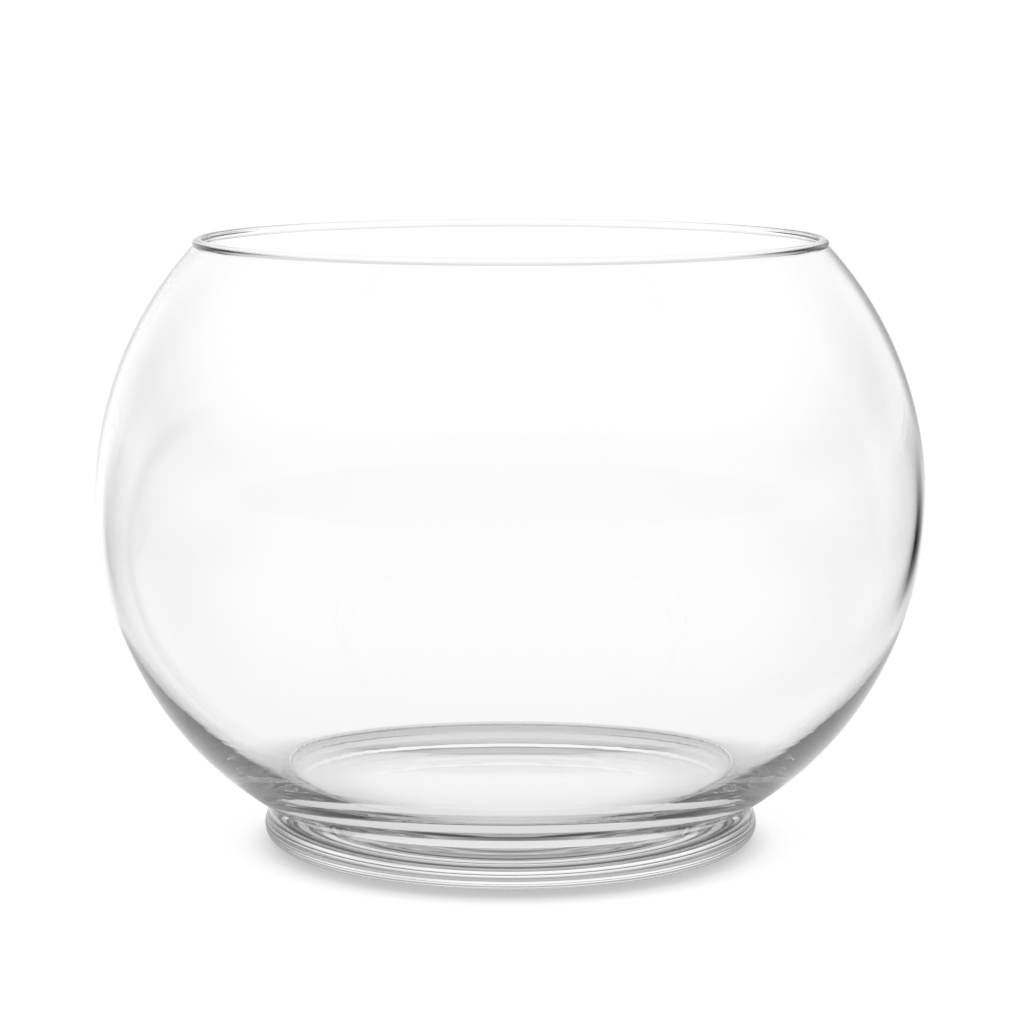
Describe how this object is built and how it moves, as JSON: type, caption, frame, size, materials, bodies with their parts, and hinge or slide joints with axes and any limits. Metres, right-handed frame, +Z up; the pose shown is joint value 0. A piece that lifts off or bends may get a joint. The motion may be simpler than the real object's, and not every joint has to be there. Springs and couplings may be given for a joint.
{
  "type": "rose bowl vase",
  "caption": "Clear glass rose bowl vase: a round blown bowl with a wide mouth and a fire-polished lip, on a low round foot.",
  "frame": {"origin": "middle of the face that the foot stands on, level with the table", "axes": "+Z up along the axis that bowl and foot are turned about; X and Y are alike"},
  "size_m": [0.254, 0.254, 0.1857],
  "materials": {
    "clear_glass": "polished"
  },
  "bodies": {
    "root": {"bowl": "clear_glass", "foot": "clear_glass"}
  },
  "joints": []
}
